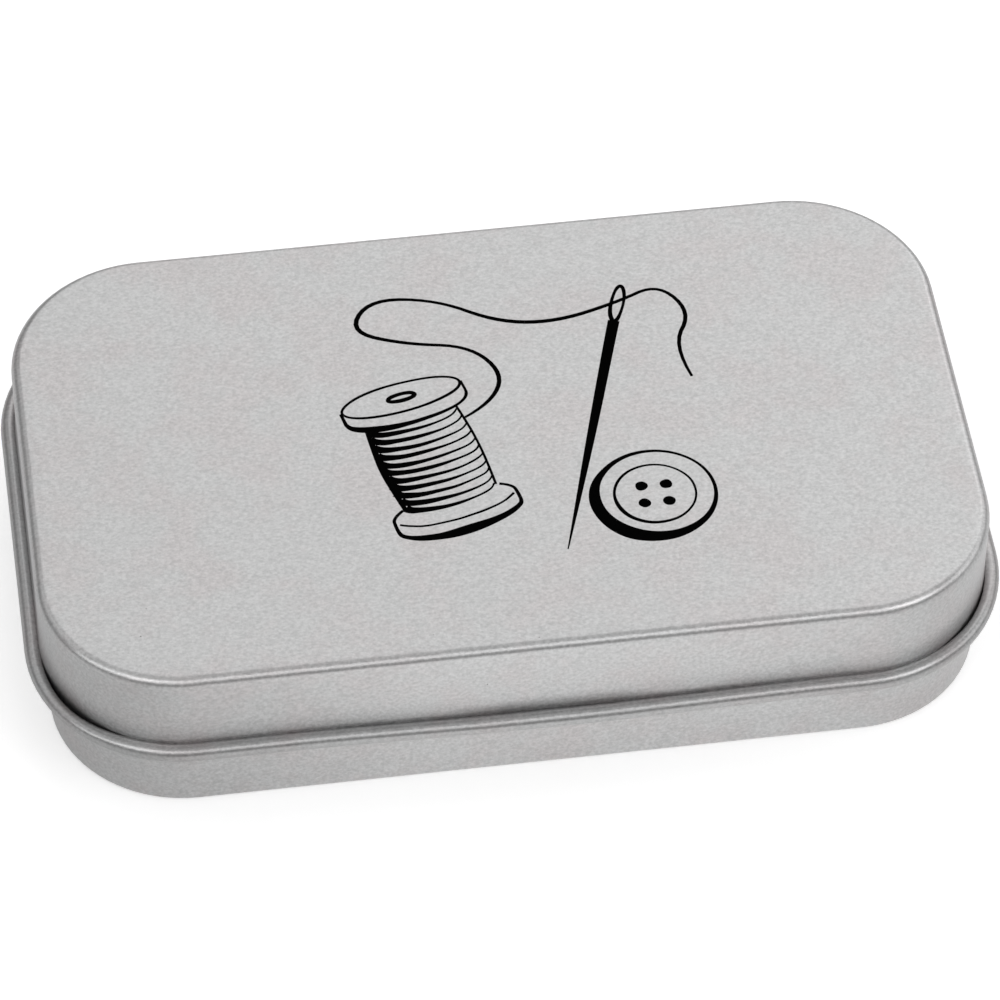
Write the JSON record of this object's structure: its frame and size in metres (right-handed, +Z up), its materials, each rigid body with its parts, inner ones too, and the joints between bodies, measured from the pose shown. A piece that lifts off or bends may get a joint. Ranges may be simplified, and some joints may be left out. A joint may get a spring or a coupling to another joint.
{
  "type": "hinged tin box",
  "caption": "Small rectangular tinplate box with rounded corners, and a slip lid with a rolled bead that hinges along the back.",
  "frame": {"origin": "middle of the underside of the base", "axes": "+X to the right along the front, +Y to the hinge side, +Z up; the front is -Y"},
  "size_m": [0.096, 0.0593, 0.0184],
  "materials": {
    "tinplate": "satin",
    "print_ink": "satin"
  },
  "bodies": {
    "base": {"base": "tinplate"},
    "lid": {"lid": "tinplate"}
  },
  "joints": [
    {"name": "lid_hinge", "type": "hinge", "parent": "base", "child": "lid", "pos_m": [0, 0.0286, 0.0089], "axis": [-1, 0, 0], "range_deg": [0, 160]}
  ]
}
